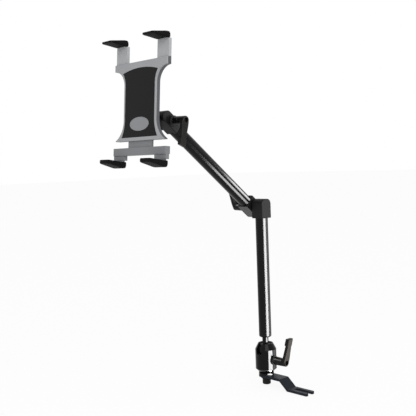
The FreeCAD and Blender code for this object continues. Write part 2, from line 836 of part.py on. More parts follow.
def make_lever(label, frame):
    """The die-cast handle: hub, leaning bar, stepped grip and the toothed bore."""
    piece = Piece(label, frame)
    start = size("flange_thickness") + size("tooth_play")
    length, radius = size("hub_length"), size("hub_radius")
    base, foot_rim, rim = size("hub_base_radius"), size("hub_base_rim"), size("lever_rim")
    piece.revolve("hub", [(start, 0), (start, base - foot_rim), (start + foot_rim, base),
                          (start + size("hub_base_length"), base), (length - rim, radius),
                          (length, radius - rim), (length, 0)], "H_Axis")
    lean = tangent(size("lever_lean"))
    reach = size("lever_reach")
    grip = reach - size("grip_length")
    bar, step = size("lever_bar"), size("grip_step")
    low, gusset = radius / 2, size("lever_gusset")
    outer_low = length - foot_rim
    side = [(length / 2, 0), (outer_low, 0), (outer_low + lean * reach, reach - rim),
            (outer_low + lean * reach - rim, reach),
            (outer_low + lean * reach - bar - step, reach),
            (outer_low + lean * grip - bar - step, grip + step),
            (outer_low + lean * grip - bar, grip),
            (outer_low + lean * (radius + gusset) - bar, radius + gusset),
            (outer_low - bar - gusset, low)]
    half = size("grip_width") / 2
    piece.pad("arm", "XZ_Plane", -radius, radius, side)
    narrow = size("lever_width") / 2
    edge = length + reach
    outside = radius + over * 2
    front = [(-half, reach + over), (-half, grip + step), (-narrow, grip - step),
             (-radius, low * 2), (-radius, 0), (-radius - over, -radius - over),
             (-outside, -radius - over), (-outside, reach + over)]
    back = [(half, reach + over), (outside, reach + over), (outside, -radius - over),
            (radius + over, -radius - over), (radius, 0), (radius, low * 2),
            (narrow, grip - step), (half, grip + step)]
    piece.pocket("sides", "YZ_Plane", length / 2 - over, edge, front, back)
    tips = reach.number - rim.number * 1.5
    piece.dress("Fillet", "grip_edges", rim, lambda item: is_line_along(item, ALONG_Y)
                and item.Vertexes[0].Z > tips)
    web = size("web_start")
    bore = size("tooth_tip") + size("tooth_play")
    piece.pocket("bore", "YZ_Plane", start - over, web, circles=[(0, 0, bore)])
    piece.pocket("screw_hole", "YZ_Plane", web - over, length,
                 circles=[(0, 0, size("screw_radius") + size("pin_play"))])
    piece.pocket("screw_well", "YZ_Plane", web + size("web_thickness"), length + over,
                 circles=[(0, 0, size("screw_head_radius") + size("pin_play"))])


def make_lever_screw(label, frame):
    """The cheese-head screw that keeps the handle on its spindle."""
    piece = Piece(label, frame)
    head_end = size("hub_length") - size("screw_sink")
    head_start = head_end - size("screw_head_height")
    tip = size("flange_thickness") + size("tooth_length") / 2
    screw, wide = size("screw_radius"), size("screw_head_radius")
    rim = size("screw_sink") / 5
    piece.revolve("screw", [(tip, 0), (tip, screw), (head_start, screw), (head_start, wide),
                            (head_end - rim, wide), (head_end, wide - rim), (head_end, 0)],
                  "H_Axis")
    slot = size("screw_radius") / 4
    piece.pocket("slot", "YZ_Plane", head_end - slot * 2, head_end + over,
                 rectangle(-wide - over, -slot, wide + over, slot))


def make_lever_spring(label, frame):
    """The coil spring between the handle's web and the screw's head.

    Each half turn is a half circle in a leaning plane, so the wire has no kink where two meet.
    """
    wire = size("spring_wire")
    low = size("web_start") + size("web_thickness") + wire / 2
    high = size("hub_length") - size("screw_sink") - size("screw_head_height") - wire / 2
    mean = (size("screw_head_radius") - wire / 2).number
    halves = int(SIZES["spring_turns"] * 2)
    step = (high - low).number / halves
    leaning = math.hypot(mean, step / 2)
    arcs = []
    for index in range(halves):
        side = 1 if index % 2 == 0 else -1
        start = low.number + index * step
        first = Vector(start, 0, mean * side)
        middle = Vector(start + step / 2, leaning * side, 0)
        last = Vector(start + step, 0, -mean * side)
        arcs.append(Part.Arc(first, middle, last).toShape())
    section = Part.Wire(Part.makeCircle(wire.number / 2, arcs[0].Vertexes[0].Point, ALONG_Y))
    spring = document.addObject("Part::Feature", label)
    spring.Label = label
    spring.Shape = Part.Wire(arcs).makePipeShell([section], True, False)
    spring.Placement = frame.placement
    pieces.append(spring)


def make_lever_set(name, frame, inward, pointed=False):
    """One complete clamping lever on its hinge axis."""
    make_spindle(f"{name}_spindle", frame, inward, pointed)
    make_lever(f"{name}_lever", frame)
    make_lever_screw(f"{name}_lever_screw", frame)
    make_lever_spring(f"{name}_lever_spring", frame)


def make_levers():
    """Base lever on the housing, elbow lever on the arm's far side, head lever on the tongue."""
    seat = size("housing_radius") + size("boss_height")
    base = pole.moved(x=seat, z=spindle_height, turn=size("base_lever_angle"))
    inward = seat - size("housing_bore") + size("pin_play") * 2
    make_lever_set("base", base, inward, pointed=True)
    clamped = size("block_width") + size("hinge_washer_thickness") + size("insert_length")
    mirrored = arm.moved(x=-size("block_width") / 2, turn=size("elbow_lever_angle")
                         - size("arm_lean")).moved(turn=180, about="z")
    make_lever_set("elbow", mirrored, clamped)
    seat = size("block_width") / 2 + size("head_boss_height")
    hinge = wrist.moved(x=seat, turn=size("head_lever_angle") - size("arm_lean"))
    make_lever_set("head", hinge, clamped + size("head_boss_height"))


def body_outline():
    """The holder's outline: a broad top, a narrow waist and a pointed lower flange."""
    top, ear = size("top_edge"), size("ear_edge")
    waist, high, low = size("waist_half"), size("waist_top"), size("waist_bottom")
    wide, foot, bottom = size("top_half"), size("bottom_half"), size("bottom_edge")
    upper = ((wide - waist) * (wide - waist) + (ear - high) * (ear - high))
    upper = upper / ((wide - waist) * 2)
    thin = size("flange_edge")
    lower = ((foot - waist) * (foot - waist) + (low - bottom - thin) * (low - bottom - thin))
    lower = lower / ((foot - waist) * 2)
    return [(-wide, top), (-wide, ear, upper, -1), (-waist, high), (-waist, low, lower, -1),
            (-foot, bottom + thin), (-foot, bottom), (foot, bottom), (foot, bottom + thin, lower, -1),
            (waist, low), (waist, high, upper, -1), (wide, ear), (wide, top)]


def panel_outline(play):
    """The recess for the dark panel, with an arched top, drawn smaller by the play."""
    top_half = size("panel_top_half") - play
    waist = size("waist_half") - size("panel_margin") - play
    foot, top = size("panel_bottom_half") - play, size("panel_top") - play
    bottom, crown = size("panel_bottom") + play, size("panel_crown")
    high, low = size("waist_top"), size("waist_bottom")
    arch = (top_half * top_half + crown * crown) / (crown * 2)
    upper = ((top_half - waist) * (top_half - waist) + (top - high) * (top - high))
    upper = upper / ((top_half - waist) * 2)
    lower = ((foot - waist) * (foot - waist) + (low - bottom) * (low - bottom))
    lower = lower / ((foot - waist) * 2)
    return [(-top_half, top, upper, -1), (-waist, high), (-waist, low, lower, -1),
            (-foot, bottom), (foot, bottom, lower, -1), (waist, low), (waist, high, upper, -1),
            (top_half, top, arch, 1), (0, top + crown, arch, 1)]


def cavity_outline():
    """The hollow inside the rear shell, one wall in from its outline."""
    wall = size("shell_wall")
    wide, top = size("top_half") - wall, size("top_edge") - wall
    waist, bottom = size("waist_half") - wall, size("bottom_edge") + wall
    foot = size("waist_half") + size("shell_wall")
    ear = size("ear_edge") + wall
    high, low = size("waist_top"), size("waist_bottom")
    upper = ((wide - waist) * (wide - waist) + (ear - high) * (ear - high))
    upper = upper / ((wide - waist) * 2)
    lower = ((foot - waist) * (foot - waist) + (low - bottom) * (low - bottom))
    lower = lower / ((foot - waist) * 2)
    return [(-wide, top), (-wide, ear, upper, -1), (-waist, high), (-waist, low, lower, -1),
            (-foot, bottom), (foot, bottom, lower, -1), (waist, low), (waist, high, upper, -1),
            (wide, ear), (wide, top)]


def case_screw_spots():
    top_x = size("top_half") - size("case_screw_inset")
    low_x = size("waist_half") - size("case_screw_low_inset")
    top, low = size("top_edge") - size("case_screw_drop"), size("case_screw_low")
    return [(top_x, top), (-top_x, top), (low_x, low), (-low_x, low)]


def make_rear_shell():
    """The moulded back with both upper arms, guide ribs, bosses and the slot for the tongue."""
    piece = Piece("rear_shell", holder)
    depth, floor = size("shell_depth"), size("shell_floor")
    piece.pad("outline", "XZ_Plane", 0, depth, body_outline())
    back, front = size("arm_back"), size("arm_back") + size("arm_thickness")
    root_line, tip = size("ear_edge") + size("shell_wall"), size("arm_top")
    piece.pad("arms", "XZ_Plane", back, front,
              rectangle(arm_inner, root_line, arm_outer, tip),
              rectangle(-arm_outer, root_line, -arm_inner, tip))
    add_fingers(piece, 1)
    piece.pocket("cavity", "XZ_Plane", floor, depth + over, cavity_outline())
    boss = size("screw_boss")
    piece.pad("bosses", "XZ_Plane", floor - over, depth,
              circles=[(x, u, boss) for x, u in case_screw_spots()])
    guide = size("tongue_half") + size("tongue_gap")
    rib = guide + size("shell_wall") * 0.6
    low, high = size("bottom_edge") + size("shell_wall"), size("tongue_top") + size("jaw_gap")
    piece.pad("guides", "XZ_Plane", floor - over, depth - size("tongue_gap"),
              rectangle(guide, low - over, rib, high), rectangle(-rib, low - over, -guide, high))
    post = size("jaw_spring_radius") * 0.6
    across, post_height = size("spring_offset"), size("jaw_spring_top")
    piece.pad("posts", "XZ_Plane", floor - over, depth - size("tongue_gap"),
              circles=[(side * across, post_height + post, post) for side in (1, -1)])
    piece.pocket("tongue_slot", "XZ_Plane", floor, depth + over,
                 rectangle(-guide, size("bottom_edge") - over, guide, low + over))
    play = size("swivel_screw_radius") + size("thread_play")
    piece.pocket("swivel_hole", "XZ_Plane", -over, floor + over,
                 circles=[(0, -size("holder_rise"), play)])
    screw, wide = size("case_screw_radius"), size("case_screw_head")
    piece.pocket("screw_holes", "XZ_Plane", -over, depth + over,
                 circles=[(x, u, screw) for x, u in case_screw_spots()])
    piece.pocket("screw_seats", "XZ_Plane", -over, floor,
                 circles=[(x, u, wide) for x, u in case_screw_spots()])


def make_front_bezel():
    """The front cover, with a shallow bed for the dark panel."""
    piece = Piece("front_bezel", holder)
    back = size("shell_depth")
    front = back + size("bezel_thickness")
    piece.pad("cover", "XZ_Plane", back, front, body_outline())
    piece.pocket("panel_bed", "XZ_Plane", front - size("panel_sink"), front + over,
                 panel_outline(Size(0)))
    piece.pocket("screw_threads", "XZ_Plane", back - over,
                 back + size("bezel_thickness") - size("panel_sink"),
                 circles=[(x, u, size("case_screw_radius")) for x, u in case_screw_spots()])


def make_centre_panel():
    """The thin dark panel that lies in the bezel's bed."""
    piece = Piece("centre_panel", holder)
    back = size("shell_depth") + size("bezel_thickness") - size("panel_sink")
    piece.pad("panel", "XZ_Plane", back, back + size("panel_thickness"),
              panel_outline(size("panel_play")))


def make_case_screws():
    """Four screws from the back of the shell into the bezel."""
    piece = Piece("case_screws", holder)
    floor, head = size("shell_floor"), size("shell_floor") / 2
    end = size("shell_depth") + size("bezel_thickness") - size("panel_sink")
    piece.body.AllowCompound = True
    piece.pad("shanks", "XZ_Plane", floor - head / 2, end,
              circles=[(x, u, size("case_screw_radius")) for x, u in case_screw_spots()])
    piece.pad("heads", "XZ_Plane", floor - head, floor,
              circles=[(x, u, size("case_screw_head")) for x, u in case_screw_spots()])


def hook_outline(sign):
    """The hook's side, from the arm's end out past the tablet's edge, up or down by sign."""
    inside = size("tablet_half")
    end = size("arm_top")
    front = -(size("arm_back") + size("arm_thickness")) - size("hook_reach")
    base = -size("hook_base_front")
    back = -size("hook_back")
    row, side = ("upper", 1) if sign > 0 else ("lower", -1)
    outer = inside + size(f"{row}_hook_root")
    tip = inside + size(f"{row}_hook_tip")
    relief = inside + size(f"{row}_hook_relief")
    rounding, lip = size("hook_rounding"), size("hook_lip_rim")
    arm_face = -size("arm_back") - size("arm_thickness")
    points = [(back, end), (back, outer - rounding, rounding, side),
              (back - rounding, outer), (base, outer), (front + rounding, tip),
              (front, tip - rounding), (front, relief + lip), (front + lip, relief),
              (base * 2, inside), (arm_face, inside), (arm_face, end)]
    return [(point[0], point[1] * sign) + tuple(point[2:]) for point in points]


def finger_outline(sign):
    """The bent finger at an arm's end that the hook is pushed on to."""
    back = -size("finger_back")
    thick = size("finger_thickness")
    low, high = size("finger_height"), size("finger_height") + thick
    root_line = size("arm_top") - over
    reach = back - size("finger_reach")
    points = [(back, root_line), (back, high), (reach, high), (reach, low),
              (back - thick, low), (back - thick, root_line)]
    return [(y, z * sign) for y, z in points]


def add_fingers(piece, sign):
    """Adds the finger to both arms of the shell or of the crossbar."""
    middle = (arm_outer + arm_inner) / 2
    half = size("arm_width") / 2 - size("hook_wall")
    for name, side in (("left_finger", -1), ("right_finger", 1)):
        centre = middle * side
        piece.pad(name, "YZ_Plane", centre - half, centre + half, finger_outline(sign))


def make_hook(label, frame, sign):
    """One rubber hook, as wide as its arm."""
    piece = Piece(label, frame)
    half = size("arm_width") / 2
    piece.pad("hook", "YZ_Plane", -half, half, hook_outline(sign))
    finger = half - size("hook_wall")
    piece.pocket("socket", "YZ_Plane", -finger, finger, finger_outline(sign))


def make_hooks():
    middle = (arm_outer + arm_inner) / 2
    for side, direction in (("left", -1), ("right", 1)):
        spot = holder.moved(x=middle * direction)
        make_hook(f"{side}_upper_hook", spot, 1)
        make_hook(f"{side}_lower_hook", spot, -1)


def jaw_levels():
    """Heights of the crossbar's top and bottom edges at rest."""
    top = size("bottom_edge") - size("jaw_gap")
    return top, top - size("crossbar_height")


def make_jaw():
    """The sliding tongue and the crossbar with its two short arms."""
    top, bottom = jaw_levels()
    tongue = Piece("jaw_tongue", holder)
    back = size("shell_floor") + size("tongue_gap")
    front = back + size("tongue_thickness")
    half, slot = size("tongue_half"), size("tongue_slot_half")
    web, high = size("tongue_slot_end"), size("tongue_top")
    low = bottom + size("shell_wall")
    tongue.pad("plate", "XZ_Plane", back, front,
               [(-half, low), (half, low), (half, high), (slot, high), (slot, web),
                (-slot, web), (-slot, high), (-half, high)])
    bar = Piece("jaw_crossbar", holder)
    bar_front = size("crossbar_front")
    bar_back = bar_front - size("crossbar_depth")
    bar.pad("bar", "XZ_Plane", bar_back, bar_front,
            rectangle(-arm_outer, bottom, arm_outer, top))
    arm_front = bar_front - size("lower_arm_setback")
    arm_back = arm_front - size("lower_arm_depth")
    foot = -size("arm_top")
    bar.pad("arms", "XZ_Plane", arm_back, arm_front,
            rectangle(arm_inner, foot, arm_outer, bottom + over),
            rectangle(-arm_outer, foot, -arm_inner, bottom + over))
    add_fingers(bar, -1)
    bar.pocket("tongue_bed", "XZ_Plane", back, front, rectangle(-half, low, half, top + over))
    screws = Piece("jaw_screws", holder)
    screws.body.AllowCompound = True
    spots = [(side * size("jaw_screw_half"), (top + low) / 2) for side in (1, -1)]
    thread, seat = size("case_screw_radius"), bar_back + size("jaw_screw_seat")
    bar.pocket("screw_holes", "XZ_Plane", bar_back - over, back,
               circles=[(x, u, thread) for x, u in spots])
    bar.pocket("screw_seats", "XZ_Plane", bar_back - over, seat,
               circles=[(x, u, size("case_screw_head")) for x, u in spots])
    tongue.pocket("screw_holes", "XZ_Plane", back - over, front,
                  circles=[(x, u, thread) for x, u in spots])
    screws.pad("shanks", "XZ_Plane", (bar_back + seat) / 2, front,
               circles=[(x, u, thread) for x, u in spots])
    screws.pad("heads", "XZ_Plane", bar_back, seat,
               circles=[(x, u, size("case_screw_head")) for x, u in spots])


def make_jaw_springs():
    """The two extension springs, each from its post in the shell to the tongue's web."""
    piece = Piece("jaw_springs", holder)
    piece.body.AllowCompound = True
    middle = size("shell_floor") + size("tongue_gap") + size("tongue_thickness") / 2
    low, high = size("tongue_slot_end"), size("jaw_spring_top")
    radius = size("jaw_spring_radius")
    across = size("spring_offset")
    piece.pad("coils", "XY_Plane", low, high,
              circles=[(across, -middle, radius), (-across, -middle, radius)])
    piece.pocket("cores", "XY_Plane", low - over, high + over,
                 circles=[(across, -middle, radius / 2), (-across, -middle, radius / 2)])


def build():
    make_sheet()
    make_rail_bracket()
    make_base_bolt()
    make_housing_plug()
    make_ball_housing()
    make_clamp_cup()
    make_ball_liner()
    make_ball_stud()
    make_lower_tube()
    make_elbow()
    make_upper_arm()
    make_tilt_block()
    make_swivel_screw()
    make_levers()
    make_rear_shell()
    make_front_bezel()
    make_centre_panel()
    make_case_screws()
    make_hooks()
    make_jaw()
    make_jaw_springs()
    document.recompute()


def check():
    """Every object computed, and every piece a valid solid."""
    for item in document.Objects:
        if "Invalid" in item.State or "Error" in item.State:
            raise ValueError(f"{item.Label} did not compute: {item.State}")
    for piece in pieces:
        if piece.Shape.isNull() or not piece.Shape.isValid() or not piece.Shape.Solids:
            raise ValueError(f"{piece.Label} has no valid solid")


def write():
    os.makedirs("parts", exist_ok=True)
    for piece in pieces:
        piece.Shape.exportStep(os.path.join("parts", piece.Label + ".step"))
    print(len(pieces), "pieces written")


build()
check()
write()
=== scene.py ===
# %% [markdown]
# # A tablet mount that stands on a car's seat rail
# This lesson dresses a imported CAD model, so the solids are already here and in their right
# places. The work left is the camera, the light, the finishes and the small things that a CAD
# part leaves out. Everything is in metres, with Z up and the holder's front towards -Y.

# %% Load the frame
import json
import math

import bmesh
import bpy
from mathutils import Matrix, Vector


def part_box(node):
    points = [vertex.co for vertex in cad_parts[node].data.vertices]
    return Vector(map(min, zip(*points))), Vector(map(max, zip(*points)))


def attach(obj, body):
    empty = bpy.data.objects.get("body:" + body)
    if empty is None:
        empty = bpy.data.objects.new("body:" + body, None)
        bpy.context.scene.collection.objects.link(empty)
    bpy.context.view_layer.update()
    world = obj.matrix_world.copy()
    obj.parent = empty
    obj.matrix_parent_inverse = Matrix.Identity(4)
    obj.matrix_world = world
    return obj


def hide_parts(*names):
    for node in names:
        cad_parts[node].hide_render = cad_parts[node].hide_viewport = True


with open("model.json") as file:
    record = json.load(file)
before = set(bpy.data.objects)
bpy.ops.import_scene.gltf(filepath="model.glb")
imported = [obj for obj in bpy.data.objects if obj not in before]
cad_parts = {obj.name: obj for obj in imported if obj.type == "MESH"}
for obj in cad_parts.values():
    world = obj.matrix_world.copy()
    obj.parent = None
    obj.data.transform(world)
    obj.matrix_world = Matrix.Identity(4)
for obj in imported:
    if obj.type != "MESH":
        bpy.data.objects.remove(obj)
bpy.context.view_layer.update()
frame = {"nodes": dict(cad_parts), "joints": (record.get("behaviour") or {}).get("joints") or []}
nodes = frame["nodes"]
stage = bpy.context.scene

# %% [markdown]
# ## The camera
# The picture was taken from the front right of the mount, almost level, with a moderate lens.
# A camera can be aimed by hand until the outlines agree, but here its place was worked out from
# points of the picture whose real places are known. So it is written as angles in degrees, a
# focal length in pixels and a place. The last angle is a small tilt of the whole picture.


# %% Camera
def standing(place, right, up, out):
    """The matrix of an object at a place, whose own X, Y and Z point along the three others."""
    return Matrix.Translation(place) @ Matrix((right, up, out)).transposed().to_4x4()


IMAGE_WIDTH = 416
FOCAL_PIXELS = 738.07
SENSOR_WIDTH = 36
FARTHEST_SEEN = 60
CAMERA_PLACE = Vector((0.725175, -0.873251, 0.36387))
azimuth, elevation, tilt = (math.radians(angle) for angle in (46.201, 3.673, -2.085))
backwards = Vector((math.sin(azimuth) * math.cos(elevation),
                    -math.cos(azimuth) * math.cos(elevation), math.sin(elevation)))
level = (-backwards).cross(Vector((0, 0, 1))).normalized()
upright = level.cross(-backwards)
across = level * math.cos(tilt) + upright * math.sin(tilt)
upwards = upright * math.cos(tilt) - level * math.sin(tilt)

camera = bpy.data.objects.new("camera", bpy.data.cameras.new("camera"))
camera.data.sensor_width = SENSOR_WIDTH
camera.data.lens = FOCAL_PIXELS * SENSOR_WIDTH / IMAGE_WIDTH
camera.data.clip_end = FARTHEST_SEEN
camera.matrix_world = standing(CAMERA_PLACE, across, upwards, backwards)
stage.collection.objects.link(camera)
stage.camera = camera
print("lens", round(camera.data.lens, 2), "mm")

# %% [markdown]
# ## Numbers that behave like shader nodes
# A finish is a small sum: a little noise, times a mask, plus a base value. Written as nodes
# such a sum takes many lines, so one class wraps a socket and lets Python's own signs add the
# Math nodes. Every other node comes from one method, which sets the node's choices first and
# then its sockets. The world's nodes are made the same way, so that method has its own class.


# %% Node sums
class Flow:
    """The output of a node, which takes part in sums."""

    def __init__(self, graph, socket):
        self.graph = graph
        self.socket = socket

    def maths(self, kind, first, second=0.0):
        return self.graph.node("Math", {"operation": kind}, {0: first, 1: second})

    def __add__(self, other):
        return self.maths("ADD", self, other)

    def __radd__(self, other):
        return self.maths("ADD", other, self)

    def __sub__(self, other):
        return self.maths("SUBTRACT", self, other)

    def __rsub__(self, other):
        return self.maths("SUBTRACT", other, self)

    def __mul__(self, other):
        return self.maths("MULTIPLY", self, other)

    def __rmul__(self, other):
        return self.maths("MULTIPLY", other, self)

    def __abs__(self):
        return self.maths("ABSOLUTE", self)

    def kept(self, low=0.0, high=1.0):
        """The value held between two limits."""
        return self.maths("MINIMUM", self.maths("MAXIMUM", self, low), high)


class Graph:
    """A tree of nodes, with a single way to add to it."""

    def __init__(self, tree):
        self.tree = tree

    def node(self, kind, choices, sockets, output=0):
        made = self.tree.nodes.new("ShaderNode" + kind)
        for name, value in choices.items():
            setattr(made, name, value)
        for name, value in sockets.items():
            if isinstance(value, Flow):
                self.tree.links.new(value.socket, made.inputs[name])
            else:
                made.inputs[name].default_value = value
        return Flow(self, made.outputs[output]) if made.outputs else None

    def looked_at(self):
        """1 for a ray that the camera, a mirror or glass sends, and 0 for one that lights."""
        looks = [self.node("LightPath", {}, {}, f"Is {kind} Ray")
                 for kind in ("Camera", "Glossy", "Transmission")]
        return (looks[0] + looks[1] + looks[2]).kept()


print("node sums ready")

# %% [markdown]
# ## What finishes share
# Four things come back in most finishes: clouds of noise in metres, a mix of two colours, a
# bump, and rubbed edges. For the edges, the Bevel node gives the normal that a small round would
# have. Where it differs from the plain normal there is an edge, and that difference is a mask.


# %% Finish helpers
class Finish(Graph):
    """One material."""

    def __init__(self, name, constants=None):
        self.material = bpy.data.materials.new(name)
        self.material.use_nodes = True
        super().__init__(self.material.node_tree)
        self.shader = self.tree.nodes["Principled BSDF"]
        for socket, value in (constants or {}).items():
            self.shader.inputs[socket].default_value = value

    def feed(self, socket, flow):
        self.tree.links.new(flow.socket, self.shader.inputs[socket])

    def place(self, stretch=(1, 1, 1), turn=(0, 0, 0)):
        """The surface point on the object, in metres, stretched or turned."""
        point = self.node("TexCoord", {}, {}, "Object")
        return self.node("Mapping", {}, {"Vector": point, "Scale": stretch, "Rotation": turn})

    def height(self):
        """How high the surface point lies, in metres."""
        return self.node("SeparateXYZ", {}, {"Vector": self.place()}, "Z")

    def noise(self, period, detail=2.0, place=None):
        """Cloudy values about one half, with the given size of cloud in metres."""
        where = place or self.place()
        return self.node("TexNoise", {}, {"Vector": where, "Scale": 1 / period,
                                          "Detail": detail, "Roughness": 0.55})

    def mix(self, share, first, second):
        """A colour between two, each a link or three numbers."""
        first, second = (value if isinstance(value, Flow) else (*value, 1.0)
                         for value in (first, second))
        return self.node("Mix", {"data_type": "RGBA"}, {0: share, 6: first, 7: second}, 2)

    def soft_edge(self, radius):
        """The normal as if every edge had a small round of this radius."""
        return self.node("Bevel", {"samples": 4}, {"Radius": radius})

    def rub(self, radius, gain=3.4):
        """About 1 on sharp edges and 0 on open faces."""
        soft = self.soft_edge(radius)
        plain = self.node("NewGeometry", {}, {}, "Normal")
        facing = self.node("VectorMath", {"operation": "DOT_PRODUCT"}, {0: soft, 1: plain},
                           "Value")
        return ((1 - facing) * gain).kept()

    def wear(self, radius, patches, contrast, threshold):
        """Rubbed edges that come and go with the patches."""
        return self.rub(radius) * (patches * contrast - threshold).kept()

    def dent(self, relief, depth, radius=0.0, strength=1.0):
        """Feeds a bump of this depth in metres, on top of softened edges if a radius is given."""
        sockets = {"Height": relief, "Distance": depth, "Strength": strength}
        if radius:
            sockets["Normal"] = self.soft_edge(radius)
        self.feed("Normal", self.node("Bump", {}, sockets))


def tone(red, green, blue):
    """The linear colour for three 8-bit display values."""
    parts = (red / 255, green / 255, blue / 255)
    return tuple(part / 12.92 if part <= 0.04045 else ((part + 0.055) / 1.055) ** 2.4
                 for part in parts)


def paint(finish, *names):
    """Gives the finish to these pieces of the frame."""
    for name in names:
        mesh = nodes[name].data
        mesh.materials.clear()
        mesh.materials.append(finish.material)
    print(finish.material.name, "on", ", ".join(names))


print("finish helpers ready")

# %% [markdown]
# ## The white around it
# The mount is photographed on white. A world of full strength would light it too brightly and
# bleach the grey holder. So the world is full white only where the camera, a mirror or glass
# sees it, and calmer where it lights.

# %% World
WHITE = (1, 1, 1, 1)
WORLD_LIGHT = 0.8
world = bpy.data.worlds.new("studio")
stage.world = world
world.use_nodes = True
world.node_tree.nodes.clear()
air = Graph(world.node_tree)
lit, seen = (air.node("Background", {}, {"Color": WHITE, "Strength": strength})
             for strength in (WORLD_LIGHT, 1.0))
blend = air.node("MixShader", {}, {"Fac": air.looked_at(), 1: lit, 2: seen})
air.node("OutputWorld", {}, {"Surface": blend})
print("world lights at", WORLD_LIGHT)

# %% [markdown]
# ## Soft boxes
# Tall soft boxes on the right draw bright bands on everything glossy. A lamp strong enough for
# such a band on black gloss would bleach the holder, so the work is shared. The world and one
# broad lamp give the plain light. The bands come from boxes that only chosen pieces mirror,
# through light linking, and that light nothing. Where each box stands follows from the mirror
# rule: a point of a round tube that faces away from the camera by some angle shows what lies at
# twice that angle.


# %% Soft boxes
MIDDLE = Vector((-0.07, -0.08, 0.3))


def light_box(name, place, wide, tall, radiance, mirrors=(), colour=(1, 1, 1)):
    """A rectangle of light that shines down its own Z.

    When it is given pieces, it shows in their gloss alone, and only they can hide it.
    """
    lamp = bpy.data.lights.new(name, "AREA")
    lamp.shape = "RECTANGLE"
    lamp.size, lamp.size_y = wide, tall
    lamp.energy = radiance * math.pi * wide * tall
    lamp.color = colour
    box = bpy.data.objects.new(name, lamp)
    box.matrix_world = place
    box.visible_camera = False
    stage.collection.objects.link(box)
    if mirrors:
        box.visible_diffuse = False
        group = bpy.data.collections.new(name + "_mirrors")
        for piece in mirrors:
            group.objects.link(nodes[piece])
        box.light_linking.receiver_collection = group
        box.light_linking.blocker_collection = group


def soft_box(name, turn, height, distance, **light):
    """A light box that looks at the mount's middle, at a compass turn in degrees from -Y."""
    angle = math.radians(turn)
    spot = MIDDLE + Vector((math.sin(angle), -math.cos(angle), 0)) * distance
    spot.z += height
    look = (MIDDLE - spot).to_track_quat("-Z", "Y").to_matrix().to_4x4()
    light_box(name, Matrix.Translation(spot) @ look, **light)


ROUND = ("ball_housing", "housing_plug", "ball_stud", "lower_end_plug", "lower_tube")
BLOCKS = ("lower_elbow_block", "upper_elbow_block", "head_block", "tilt_block")
LEVERS = ("base_lever", "elbow_lever", "head_lever")
soft_box("key_box", 60, height=1.2, distance=2.2, wide=1.8, tall=1.4, radiance=3.2)
soft_box("band_box", 95, height=-0.3, distance=1.7, wide=1.35, tall=1.2, radiance=85,
         mirrors=ROUND)
soft_box("edge_box", 138, height=-0.3, distance=1.7, wide=1.2, tall=1.2, radiance=4.4,
         mirrors=ROUND)
soft_box("side_box", 137, height=-0.4, distance=1.7, wide=1.3, tall=2.0, radiance=4.2,
         mirrors=BLOCKS)
soft_box("grip_box", 137, height=-0.4, distance=1.7, wide=1.3, tall=2.0, radiance=4.6,
         mirrors=LEVERS, colour=(1.0, 0.9, 0.8))
soft_box("hub_box", -60, height=1.1, distance=1.8, wide=1.3, tall=0.8, radiance=14,
         mirrors=LEVERS[:2])
soft_box("left_box", -107, height=-1.4, distance=1.7, wide=1.2, tall=1.2, radiance=3,
         mirrors=("upper_elbow_block",))
print("soft boxes", [lamp.name for lamp in bpy.data.lights])

# %% [markdown]
# ## The bright patch on the neck
# The camera looks a little downwards, so the upright wall at the foot of the neck mirrors the
# top of the bracket just in front of it. The photograph has a bright patch there, and a small
# box that lies on the bracket and faces up draws it.

# %% Neck box
NECK_AHEAD = Vector((0.0175, -0.0045, 0))
NECK_LIFT = 0.0002
neck_low, neck_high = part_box("housing_plug")
neck_spot = (neck_low + neck_high) / 2 + NECK_AHEAD
neck_spot.z = neck_low.z + NECK_LIFT
light_box("neck_box", Matrix.Translation(neck_spot) @ Matrix.Rotation(math.pi, 4, "X"),
          wide=0.01, tall=0.013, radiance=85, mirrors=("housing_plug",))
print("neck box at", [round(side * 1000, 1) for side in neck_spot], "mm")

# %% [markdown]
# ## The lines along the upper tube
# The photograph shows two bright lines along the upper tube. Each gets a narrow box of its own,
# close to the tube, which nothing else mirrors. The mirror rule gives the box's place and turn
# from where the line lies across the tube. The point that the rule starts from lies beside the
# tube's own axis, where it brings the lines out as photographed.

# %% Tube lines
AIM_X = -0.063
STRIP_DISTANCE = 0.5
joints = {joint["name"]: joint for joint in frame["joints"]}
elbow = Vector(joints["elbow_fold"]["pos_m"])
wrist = Vector(joints["head_tilt"]["pos_m"])


def tube_strip(name, offset, start, end, spread, radiance):
    """A box that the upper tube mirrors as one line, between two shares of its length.

    The offset tells where the line lies across the tube, from -1 at one edge to 1 at the other.
    """
    axis = (wrist - elbow).normalized()
    middle = elbow + (wrist - elbow) * (start + end) / 2
    middle.x += AIM_X - elbow.x
    view = (CAMERA_PLACE - middle).normalized()
    facing = (view - axis * view.dot(axis)).normalized()
    sideways = facing.cross(axis)
    normal = facing * math.sqrt(1 - offset ** 2) - sideways * offset
    mirrored = normal * (2 * normal.dot(view)) - view
    along = (axis - mirrored * axis.dot(mirrored)).normalized()
    stretch = (wrist - elbow).length * (end - start) * axis.dot(along)
    place = standing(middle + mirrored * STRIP_DISTANCE, along.cross(mirrored), along, mirrored)
    light_box(name, place, spread * STRIP_DISTANCE, stretch, radiance, ("upper_tube",))


tube_strip("near_line", offset=0.03, start=-0.05, end=0.6, spread=0.55, radiance=46)
tube_strip("far_line", offset=0.66, start=-0.05, end=0.42, spread=0.62, radiance=34)
print("lamps in all", len(bpy.data.lights))

# %% [markdown]
# ## The floor
# The fork's underside touches z = 0, so a sheet just below it stands for the table. Part of its
# white is light of its own, for whoever looks at it, and the rest takes the shadow. Mirrors look
# through it, because the tall boxes reach below the table's level, and find the same white.

